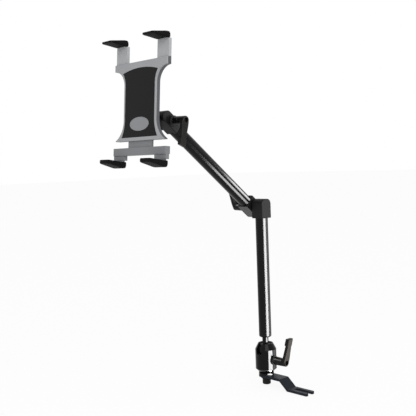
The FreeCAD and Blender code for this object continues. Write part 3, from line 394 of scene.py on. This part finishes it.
# %% Floor
REACH = 14.0
FLOOR_GAP = 0.0006
OWN_LIGHT = 0.9
floor_mesh = bpy.data.meshes.new("floor")
floor_mesh.from_pydata([(-REACH, -REACH, 0), (REACH, -REACH, 0), (REACH, REACH, 0),
                        (-REACH, REACH, 0)], [], [(0, 1, 2, 3)])
floor = bpy.data.objects.new("floor", floor_mesh)
floor.location.z = -FLOOR_GAP
floor.visible_glossy = False
stage.collection.objects.link(floor)

paper = Finish("paper", {"Roughness": 0.9, "Specular IOR Level": 0.1})
paper.feed("Base Color", paper.mix(paper.noise(0.6), (0.86, 0.86, 0.86), (0.9, 0.9, 0.9)))
shaded = Flow(paper, paper.shader.outputs[0])
glow = paper.node("Emission", {}, {"Color": WHITE, "Strength": 1.0})
both = paper.node("MixShader", {}, {"Fac": paper.looked_at() * OWN_LIGHT, 1: shaded, 2: glow})
paper.tree.links.new(both.socket, paper.tree.nodes["Material Output"].inputs["Surface"])
floor_mesh.materials.append(paper.material)
print("floor", REACH * 2, "m wide")

# %% [markdown]
# ## Black gloss on the turned parts
# The ball housing, its neck and the stem are turned steel under a thick black gloss coat. Such a
# coat is never perfectly flat: it has a slow waviness like orange peel, a few millimetres
# wide, and it is a little thinner and paler along sharp rims. A low roughness keeps the soft
# box's band crisp, and a dim specular keeps the rest of the coat dark. Where the neck meets the
# housing, a thin dull line breaks the band as the photograph shows.


# %% Gloss coat
COAT_SHINE = 0.12
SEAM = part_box("ball_housing")[0].z
SEAM_HALF = 0.00035


def gloss_coat(name, colour, rough, peel):
    finish = Finish(name, {"Specular IOR Level": COAT_SHINE})
    waves = finish.noise(peel, detail=1.0)
    patches = finish.noise(0.02)
    worn = finish.wear(0.0004, patches, contrast=1.6, threshold=0.35)
    pale = tuple(part * 5 + 0.012 for part in colour)
    finish.feed("Base Color", finish.mix(worn * 0.7, colour, pale))
    joint_line = (1.5 - abs(finish.height() - SEAM) * (1 / SEAM_HALF)).kept()
    finish.feed("Roughness", rough + patches * 0.05 + worn * 0.18 + joint_line * 0.7)
    finish.dent(waves, depth=0.000003)
    return finish


paint(gloss_coat("black_gloss", tone(9, 9, 10), rough=0.07, peel=0.0025),
      "ball_housing", "housing_plug")
paint(gloss_coat("stem_gloss", tone(10, 10, 11), rough=0.11, peel=0.0016),
      "ball_stud", "lower_end_plug")

# %% [markdown]
# ## Drawn tubes
# The two tubes are steel tube with a thin black coat, and the drawing of the tube leaves faint
# lines along it. Noise stretched along the tube's own axis gives such lines. The lower tube runs
# along Z and the upper one leans forward, so the second finish turns its space by the lean
# first.


# %% Tubes
def tube_coat(name, lean):
    finish = Finish(name, {"Specular IOR Level": COAT_SHINE})
    lines = finish.noise(0.0009, place=finish.place((1, 1, 0.012), (-lean, 0, 0)))
    patches = finish.noise(0.035)
    worn = finish.wear(0.0005, patches, contrast=1.5, threshold=0.3)
    steel = finish.mix(patches, tone(10, 10, 11), tone(14, 14, 15))
    finish.feed("Base Color", finish.mix(worn * 0.6, steel, tone(96, 94, 92)))
    finish.feed("Roughness", 0.12 + lines * 0.03 + patches * 0.03 + worn * 0.15)
    finish.dent(lines, depth=0.0000003)
    return finish


arm_lean = math.atan2(-(wrist.y - elbow.y), wrist.z - elbow.z)
paint(tube_coat("lower_tube_coat", 0.0), "lower_tube")
paint(tube_coat("upper_tube_coat", arm_lean), "upper_tube")
print("upper tube leans", round(math.degrees(arm_lean), 2), "degrees")

# %% [markdown]
# ## Powder coat on bracket and levers
# The bracket is flat steel bar, bent and powder-coated: a satin skin with a fine pebble grain
# that reads slightly blue. The levers are die-cast zinc with a similar coat. Where hands and
# tools rub, on the sharp edges, the coat turns paler and smoother, so the mask from the softened
# edges mixes in a second colour, broken up by noise.


# %% Powder coat
def powder_coat(name, colour, edge, rough, grain, depth, radius):
    finish = Finish(name, {"Specular IOR Level": COAT_SHINE})
    pebbles = finish.noise(grain, detail=3.0)
    patches = finish.noise(0.012, detail=3.0)
    worn = finish.wear(radius, patches, contrast=2.2, threshold=0.55)
    darker = tuple(part * 0.72 for part in colour)
    skin = finish.mix((pebbles - 0.3).kept(), darker, colour)
    finish.feed("Base Color", finish.mix(worn, skin, edge))
    finish.feed("Roughness", rough + (patches - 0.5) * 0.12 - worn * 0.08)
    finish.dent(pebbles, depth, radius)
    return finish


bracket_coat = powder_coat("bracket_coat", tone(22, 28, 38), tone(96, 97, 100), rough=0.4,
                           grain=0.0007, depth=0.00002, radius=0.0006)
lever_coat = powder_coat("lever_coat", tone(10, 9, 9), tone(100, 92, 84), rough=0.3,
                         grain=0.0005, depth=0.000005, radius=0.0008)
bolt_black = powder_coat("bolt_black", tone(20, 20, 21), tone(90, 88, 86), rough=0.36,
                         grain=0.0004, depth=0.000008, radius=0.0004)
paint(bracket_coat, "rail_bracket")
paint(lever_coat, *LEVERS)
paint(bolt_black, "base_bolt", "base_washer", "base_lock_washer", "base_lever_screw",
      "elbow_lever_screw", "head_lever_screw", "case_screws", "jaw_screws", "swivel_screw")

# %% [markdown]
# ## Moulded hinge blocks
# The square blocks at the tubes' ends are glass-filled nylon. Their moulds are etched, so the
# faces carry a coarse, slightly cracked grain. A cellular texture gives the cracked look, and a
# fine noise paints pale specks into the colour as painted glints, where the grain would catch
# the light. The same pale colour also marks the worn edges.


# %% Hinge blocks
CELL = 0.0011
BLOCK_EDGE = 0.0007


def block_grain(name, colour, glint_and_wear_colour):
    finish = Finish(name, {"Specular IOR Level": 0.16})
    cells = finish.node("TexVoronoi", {"feature": "SMOOTH_F1"},
                        {"Vector": finish.place(), "Scale": 1 / CELL, "Smoothness": 0.6})
    fine = finish.noise(0.0004, detail=3.0)
    # Painted glints: pale specks mixed into the colour where the fine noise is high, standing in
    # for the grain catching the light.
    painted_glint = ((fine - 0.52) * 5).kept() * 0.5
    worn = finish.wear(BLOCK_EDGE, finish.noise(0.01), contrast=1.8, threshold=0.4)
    finish.feed("Base Color", finish.mix((painted_glint + worn * 0.55).kept(), colour, glint_and_wear_colour))
    finish.feed("Roughness", 0.5 + fine * 0.12 - worn * 0.1)
    finish.dent(cells + fine * 0.5, depth=0.00004, radius=BLOCK_EDGE, strength=0.8)
    return finish


paint(block_grain("block_black", tone(12, 12, 13), tone(52, 52, 53)), *BLOCKS)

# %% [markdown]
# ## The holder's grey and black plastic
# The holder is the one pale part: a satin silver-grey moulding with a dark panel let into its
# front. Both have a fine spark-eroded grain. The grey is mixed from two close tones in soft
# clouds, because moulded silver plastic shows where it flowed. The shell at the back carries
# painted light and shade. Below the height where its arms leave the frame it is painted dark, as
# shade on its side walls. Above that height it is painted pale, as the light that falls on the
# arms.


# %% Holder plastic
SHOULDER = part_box("front_bezel")[1].z
SHOULDER_SHARPNESS = 2000


def satin_plastic(name, colour, cloud, rough, grain=0.00035, depth=0.000008, shine=0.3,
                  painted_lit_arms=None):
    finish = Finish(name, {"Specular IOR Level": shine})
    fine = finish.noise(grain, detail=3.0)
    clouds = finish.noise(0.03)
    edges = finish.rub(0.0005) * 0.25
    shade = finish.mix((clouds + edges - 0.2).kept(), colour, cloud)
    # Painted light and shade: above the shoulder the colour turns from the given tone to the pale
    # tone of the lit arms.
    if painted_lit_arms:
        above = ((finish.height() - SHOULDER) * SHOULDER_SHARPNESS).kept()
        shade = finish.mix(above, shade, painted_lit_arms)
    finish.feed("Base Color", shade)
    finish.feed("Roughness", rough + fine * 0.1 + (clouds - 0.5) * 0.06)
    finish.dent(fine, depth, radius=0.0005)
    return finish


silver_grey = satin_plastic("silver_grey", tone(148, 150, 153), tone(158, 160, 162), rough=0.4)
# The shell's dark tone is painted shade on its side walls, and the arms' pale tone is painted
# light.
shell_painted_shade_and_light = satin_plastic("shell_painted_shade_and_light", tone(84, 85, 88), tone(92, 93, 96), rough=0.45,
                           painted_lit_arms=tone(166, 168, 170))
back_grey = satin_plastic("back_grey", tone(118, 120, 123), tone(126, 128, 130), rough=0.45)
panel_black = satin_plastic("panel_black", tone(14, 14, 16), tone(18, 18, 20), rough=0.42,
                            grain=0.0003, depth=0.000005, shine=COAT_SHINE)
paint(silver_grey, "front_bezel")
paint(shell_painted_shade_and_light, "rear_shell")
paint(back_grey, "jaw_tongue", "jaw_crossbar")
paint(panel_black, "centre_panel")

# %% [markdown]
# ## Rubber hooks
# The four hooks are soft black rubber, pushed over the arms' fingers. Rubber has almost no gloss
# and a dusty bloom on its flanks, and the lips that rub are polished darker.

# %% Rubber
rubber = Finish("hook_rubber", {"Specular IOR Level": 0.1})
bloom = rubber.noise(0.009, detail=4.0)
skin = rubber.noise(0.00045, detail=3.0)
lips = rubber.rub(0.0012)
dusty = ((bloom - 0.45) * 2.0).kept() * (1 - lips)
rubber.feed("Base Color", rubber.mix(dusty * 0.6, tone(10, 10, 10), tone(24, 23, 22)))
rubber.feed("Roughness", 0.62 + skin * 0.14 - lips * 0.16)
rubber.dent(skin, depth=0.000016, radius=0.0011)
paint(rubber, "left_upper_hook", "right_upper_hook", "left_lower_hook", "right_lower_hook")

# %% [markdown]
# ## Bright metal and bearing plastic
# Inside the levers and hinges are zinc-plated spindles, brass-coloured bushes, spring wire and
# thin plastic washers. They show only in gaps, or when a lever is lifted. Turned metal has fine
# rings, which noise squeezed along the turning axis, here X, gives.


# %% Inner parts
INNER_EDGE = 0.0003


def bright_metal(name, colour, rough, squeeze=9):
    finish = Finish(name, {"Metallic": 1.0})
    rings = finish.noise(0.0012, place=finish.place((squeeze, 1, 1)))
    finish.feed("Base Color", finish.mix(rings, tuple(part * 0.86 for part in colour), colour))
    finish.feed("Roughness", rough + rings * 0.14)
    finish.dent(rings, depth=0.000006, radius=INNER_EDGE)
    return finish


def washer_plastic(name, colour, other):
    finish = Finish(name, {"Specular IOR Level": 0.4})
    wiped = finish.noise(0.003, detail=3.0)
    finish.feed("Base Color", finish.mix(wiped, colour, other))
    finish.feed("Roughness", 0.45 + wiped * 0.2)
    finish.dent(wiped, depth=0.00001, radius=INNER_EDGE)
    return finish


zinc = bright_metal("zinc", tone(186, 188, 190), rough=0.24)
brass = bright_metal("brass", tone(196, 168, 110), rough=0.28)
wire = bright_metal("spring_wire", tone(168, 170, 174), rough=0.22, squeeze=1)
nylon = washer_plastic("white_nylon", tone(214, 213, 205), tone(200, 198, 190))
dark_nylon = washer_plastic("dark_nylon", tone(44, 44, 44), tone(34, 34, 34))
paint(zinc, "base_spindle", "elbow_spindle", "head_spindle", "swivel_plate", "clamp_cup")
paint(brass, "elbow_insert", "head_insert")
paint(wire, "base_lever_spring", "elbow_lever_spring", "head_lever_spring", "jaw_springs")
paint(nylon, "ball_liner")
paint(dark_nylon, "elbow_washer", "head_washer", "swivel_washer")

# %% [markdown]
# ## Building small pieces
# The pieces still missing are small: a plain badge, softer hooks, a knurled rim, screw heads and
# spring windings. Most are a stack of closed loops joined by faces, so one helper makes the mesh
# from the loops, gives it a finish and lets it ride on its body. The vertices are written where
# they stand in the room, so that the piece's box is a true one even on the leaning holder.


# %% Loop builder
def stacked(name, loops, place, body, finish, closed=True):
    """A mesh through loops of equal length, with a flat cap at each end if it is closed."""
    mesh = bpy.data.meshes.new(name)
    build = bmesh.new()
    rows = [[build.verts.new(place @ Vector(point)) for point in loop] for loop in loops]
    for lower, upper in zip(rows, rows[1:]):
        count = len(lower)
        for index in range(count):
            after = (index + 1) % count
            build.faces.new((lower[index], lower[after], upper[after], upper[index]))
    if closed:
        build.faces.new(list(reversed(rows[0])))
        build.faces.new(rows[-1])
    bmesh.ops.recalc_face_normals(build, faces=build.faces)
    build.to_mesh(mesh)
    build.free()
    piece = bpy.data.objects.new(name, mesh)
    stage.collection.objects.link(piece)
    mesh.materials.append(finish.material)
    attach(piece, body)
    return piece


def carve(piece, cutter):
    """Cuts the cutter's shape out of a piece for good, and removes the cutter."""
    cut = piece.modifiers.new("cut", "BOOLEAN")
    cut.operation = "DIFFERENCE"
    cut.solver = "EXACT"
    cut.object = cutter
    bpy.context.view_layer.update()
    graph = bpy.context.evaluated_depsgraph_get()
    kept = bpy.data.meshes.new_from_object(piece.evaluated_get(graph))
    piece.modifiers.clear()
    piece.data = kept
    bpy.data.objects.remove(cutter)


def oval(half_wide, half_high, height, count=40):
    """A loop of points round an oval, at one height."""
    steps = (2 * math.pi * index / count for index in range(count))
    return [(half_wide * math.cos(step), half_high * math.sin(step), height) for step in steps]


print("loop builder ready")

# %% [markdown]
# ## The blank badge
# Low on the dark panel sits an oval badge, 43 by 20 mm. It is a thin disc with a raised rim and
# a slightly domed field, and this part leaves the field empty. Concentric ovals with a height
# each are enough, and the heights stay under the holder's front face.


# %% Badge
# The holder's middle lies this far over the swivel, and the panel this far in front of that.
HOLDER_RISE = 0.0278
PANEL_FRONT = 0.0076
SIDEWAYS = Vector((1, 0, 0))
swivel = joints["holder_turn"]
front = Vector(swivel["axis"])
rise = front.cross(SIDEWAYS)
holder_middle = Vector(swivel["pos_m"]) + rise * HOLDER_RISE


def on_holder(sideways, up, out):
    """The place of a piece on the holder, its own Z pointing out of the holder's front."""
    return standing(holder_middle + SIDEWAYS * sideways + rise * up + front * out,
                    SIDEWAYS, rise, front)


BADGE_HALF_WIDE, BADGE_HALF_HIGH = 0.0215, 0.01
BADGE_UP = -0.032
# How far each oval lies inside the badge's outline, and how high over the panel.
BADGE_STEPS = [(0, -0.0001), (0, 0.00018), (0.0001, 0.00028), (0.0003, 0.00034),
               (0.0006, 0.00034), (0.0008, 0.00028), (0.0009, 0.00016), (0.0012, 0.00014),
               (0.003, 0.0002), (0.006, 0.00027), (0.0094, 0.0003)]
badge_silver = satin_plastic("badge_silver", tone(128, 130, 133), tone(136, 138, 140), rough=0.3)
ovals = [oval(BADGE_HALF_WIDE - inside, BADGE_HALF_HIGH - inside, height, count=96)
         for inside, height in BADGE_STEPS]
badge = stacked("blank_badge", ovals, on_holder(0, BADGE_UP, PANEL_FRONT), "holder",
                badge_silver)
print("badge", [round(side * 1000, 1) for side in badge.dimensions], "mm")

# %% [markdown]
# ## Soft hooks
# The frame's hooks are straight-edged wedges. The real ones are moulded claws: the tip is round
# when seen from above, every rim is soft, and the inner face of the lower pair rises a little
# towards the tip, so that nothing slides out. Each is built from rounded sections along its
# reach, and then gets the same socket for the arm's finger that the frame's hook has.


# %% Hooks
HOOK_BACK, HOOK_FRONT, HOOK_HALF = 0.003, 0.03545, 0.0125
HOOK_REACH = HOOK_FRONT - HOOK_BACK
TIP_ROUND, RIM_ROUND = 0.0055, 0.0022
TAPER_START, TAPER_END = 0.006, 0.0025
INNER_SHARE = 0.35
SHARP_ANGLE = math.radians(50)
SECTIONS = (0, 0.018, 0.046, 0.086, 0.153, 0.245, 0.368, 0.491, 0.613, 0.724, 0.831,
            0.868, 0.911, 0.945, 0.969, 0.988, 0.997, 1)


def between(ends, share):
    """A value between two ends, which stays at the ends beyond them."""
    return ends[0] + (ends[1] - ends[0]) * min(max(share, 0.0), 1.0)


def drawn_in(radius, left):
    """How far a round of this radius has drawn in, when so much is left to the end."""
    if left >= radius:
        return 0.0
    return radius - math.sqrt(radius ** 2 - (radius - left) ** 2)


def soft_rectangle(half, low, high, out, steps=6):
    """A loop round a rectangle with rounded corners, at one level along the hook's reach."""
    corner = min(RIM_ROUND, (high - low) * 0.45, half * 0.9)
    loop = []
    for index, (side, end) in enumerate(((1, 1), (-1, 1), (-1, -1), (1, -1))):
        centre_x = side * (half - corner)
        centre_y = (high if end > 0 else low) - end * corner
        for step in range(steps + 1):
            angle = math.pi / 2 * (index + step / steps)
            loop.append((centre_x + corner * math.cos(angle), centre_y + corner * math.sin(angle),
                         out))
    return loop


def claw(name, sideways, way, outer, inner, body):
    """A hook from its root to its tip, with the outer and inner heights at both ends."""
    loops = []
    for level in (share * HOOK_REACH for share in SECTIONS):
        left = HOOK_REACH - level
        taper = (level - TAPER_START) / (HOOK_REACH - TAPER_START - TAPER_END)
        pinch = drawn_in(RIM_ROUND, left)
        low = between(inner, taper) + pinch * INNER_SHARE
        high = between(outer, taper) - drawn_in(RIM_ROUND, level) - pinch * (1 - INNER_SHARE)
        half = HOOK_HALF - drawn_in(TIP_ROUND, left)
        loop = soft_rectangle(half, low, high, HOOK_BACK + level)
        loops.append([(x, y * way, z) for x, y, z in loop])
    hook = stacked(name, loops, on_holder(sideways, 0, 0), body, rubber)
    hook.data.shade_smooth()
    hook.data.set_sharp_from_angle(angle=SHARP_ANGLE)
    return hook


print("claws reach", round(HOOK_REACH * 1000, 2), "mm")

# %% [markdown]
# ## Four claws and their sockets
# One loop makes the upper pair, which rides on the holder, and the lower pair, which rides on
# the jaw. The arm's finger is an angle: a short upright part and a long part that reaches out.
# So two blocks are cut out of each claw, and what is left fits over the finger.


# %% Claws
HOOK_SIDE = 0.047
FINGER_HALF = 0.0097
# From and to along the reach, and from and to in height, for both parts of the finger's room.
FINGER_ROOM = ((0.0030, 0.0068, 0.083, 0.0902), (0.0034, 0.0238, 0.0868, 0.0902))
# Which way the pair points, its body, and its outer and inner heights at the root and the tip.
PAIRS = {"upper": (1, "holder", (0.0931, 0.0889), (0.0842, 0.086)),
         "lower": (-1, "jaw", (0.0954, 0.0897), (0.0858, 0.0838))}


def finger_block(near, far, low, high):
    """Two loops, one at each end of a block as wide as the finger."""
    sides = ((-FINGER_HALF, low), (FINGER_HALF, low), (FINGER_HALF, high), (-FINGER_HALF, high))
    return [[(x, y, level) for x, y in sides] for level in (near, far)]


for row, (way, body, outer, inner) in PAIRS.items():
    for side, sideways in (("left", -HOOK_SIDE), ("right", HOOK_SIDE)):
        hook = claw(f"{side}_{row}_claw", sideways, way, outer, inner, body)
        for near, far, low, high in FINGER_ROOM:
            block = finger_block(near, far, low * way, high * way)
            carve(hook, stacked("finger_room", block, on_holder(sideways, 0, 0), body, rubber))
        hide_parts(f"{side}_{row}_hook")
        print(hook.name, "rides on", body)

# %% [markdown]
# ## The knurled bolt head
# The socket screw under the bracket has a knurled head, so that it can be started by hand. The
# knurl is a ring of small ridges. A loop whose radius steps in and out makes it, pulled up in a
# few levels so that the ridges fade at both ends.


# %% Knurl
HEAD_RADIUS, RIDGES = 0.0065, 40
# How high over the head's underside each loop lies, and how far its ridges stand out.
KNURL_LEVELS = [(0.0010, -0.00005), (0.0014, 0.00016), (0.0068, 0.00016), (0.0072, -0.00005)]


def ridged(radius, depth, height):
    """A round loop on which every second pair of points stands out."""
    steps = range(RIDGES * 4)
    radii = [radius + depth * (1, 1, 0, 0)[step % 4] for step in steps]
    turns = [2 * math.pi * step / (RIDGES * 4) for step in steps]
    return [(size * math.cos(angle), size * math.sin(angle), height)
            for size, angle in zip(radii, turns)]


bolt_low, bolt_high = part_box("base_bolt")
bolt_middle = (bolt_low + bolt_high) / 2
stacked("bolt_knurl", [ridged(HEAD_RADIUS, depth, height) for height, depth in KNURL_LEVELS],
        Matrix.Translation((bolt_middle.x, bolt_middle.y, bolt_low.z)), "base", bolt_black,
        closed=False)
print("knurl with", RIDGES, "ridges")

# %% [markdown]
# ## Screw heads with a cross
# The back of the holder is closed by four small screws and the crossbar by two. The frame has
# them as plain pins, so they are made again with a rounded head and a cross recess. The recess
# is a boolean cut with two crossed wedges, and the result is kept as a plain mesh.


# %% Cross-head screws
SHANK_RADIUS, SCREW_HEAD_RADIUS = 0.0013, 0.0024
# The head's outline from its underside up, in shares of its radius and of its height below z = 0.
HEAD_OUTLINE = ((1, 1), (1, 0.35), (0.92, 0.14), (0.7, 0))
CROSS_TURN = 0.3
# The cross, in shares of the head's radius and height. Its wedges start above the head.
CROSS_WIDE, CROSS_THIN, CROSS_DEEP = 0.58, 0.13, 0.75
WEDGE_ABOVE = 0.001


def wedge_end(wide, thin, height):
    """The flat loop at one end of a wedge."""
    return [(wide, thin, height), (-wide, thin, height), (-wide, -thin, height),
            (wide, -thin, height)]


def cross_screw(name, head_height, length, place, body):
    """A screw whose head looks along its own +Z, from z = 0 down."""
    loops = [oval(SHANK_RADIUS, SHANK_RADIUS, -depth) for depth in (length, head_height)]
    for share, depth in HEAD_OUTLINE:
        radius = SCREW_HEAD_RADIUS * share
        loops.append(oval(radius, radius, -head_height * depth))
    screw = stacked(name, loops, place, body, bolt_black)
    wide, thin = SCREW_HEAD_RADIUS * CROSS_WIDE, SCREW_HEAD_RADIUS * CROSS_THIN
    wedge = [wedge_end(wide, thin, WEDGE_ABOVE),
             wedge_end(wide * 0.5, thin * 0.7, -head_height * CROSS_DEEP)]
    for turn in (CROSS_TURN, CROSS_TURN + math.pi / 2):
        crossed = place @ Matrix.Rotation(turn, 4, "Z")
        carve(screw, stacked(name + "_cutter", wedge, crossed, body, bolt_black))
    return screw


BACKWARDS = Matrix.Rotation(math.pi, 4, "X")
CASE_SPOTS = [(0.047, 0.0525), (-0.047, 0.0525), (0.031, -0.02), (-0.031, -0.02)]
JAW_SPOTS = [(0.016, -0.0705), (-0.016, -0.0705)]
case_set = [cross_screw(f"case_screw_{index}", head_height=0.0011, length=0.0057,
                        place=on_holder(sideways, up, 0.0011) @ BACKWARDS, body="holder")
            for index, (sideways, up) in enumerate(CASE_SPOTS, start=1)]
jaw_set = [cross_screw(f"jaw_screw_{index}", head_height=0.001, length=0.0059,
                       place=on_holder(sideways, up, -0.0005) @ BACKWARDS, body="jaw")
           for index, (sideways, up) in enumerate(JAW_SPOTS, start=1)]
for screw in case_set:
    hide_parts("case_screws")
for screw in jaw_set:
    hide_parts("jaw_screws")
print(len(case_set) + len(jaw_set), "screws")

# %% [markdown]
# ## Spring windings
# Two long extension springs pull the jaw up inside the shell. The frame keeps each as a plain
# sleeve. A real one is a helix, so a curve runs round the sleeve's line with a round bevel.
# Both are hidden in the shell, so ten points for each turn are enough.


# %% Jaw springs
SPRING_SIDE, SPRING_LOW, SPRING_HIGH, SPRING_OUT = 0.0093, -0.0455, 0.0305, 0.00395
COIL_RADIUS, WIRE_RADIUS = 0.0011, 0.00028
COIL_TURNS, TURN_POINTS = 64, 10


def winding(name, sideways, body):
    """A helix that climbs the holder, beside its middle by some way."""
    curve = bpy.data.curves.new(name, "CURVE")
    curve.dimensions = "3D"
    curve.bevel_depth = WIRE_RADIUS
    curve.bevel_resolution = 1
    curve.use_fill_caps = True
    line = curve.splines.new("POLY")
    count = COIL_TURNS * TURN_POINTS
    line.points.add(count)
    for index, point in enumerate(line.points):
        share = index / count
        angle = 2 * math.pi * COIL_TURNS * share
        point.co = (COIL_RADIUS * math.cos(angle), (SPRING_HIGH - SPRING_LOW) * share,
                    COIL_RADIUS * math.sin(angle), 1)
    coil = bpy.data.objects.new(name, curve)
    coil.matrix_world = on_holder(sideways, SPRING_LOW, SPRING_OUT)
    curve.materials.append(wire.material)
    stage.collection.objects.link(coil)
    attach(coil, body)
    return coil


coils = [winding(f"jaw_spring_{side}", sideways, "holder")
         for side, sideways in (("left", -SPRING_SIDE), ("right", SPRING_SIDE))]
for coil in coils:
    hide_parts("jaw_springs")
print("windings", [coil.name for coil in coils])

# %% [markdown]
# ## The view transform
# The picture's colours go through the Standard view transform.

# %% View transform
stage.view_settings.view_transform = "Standard"
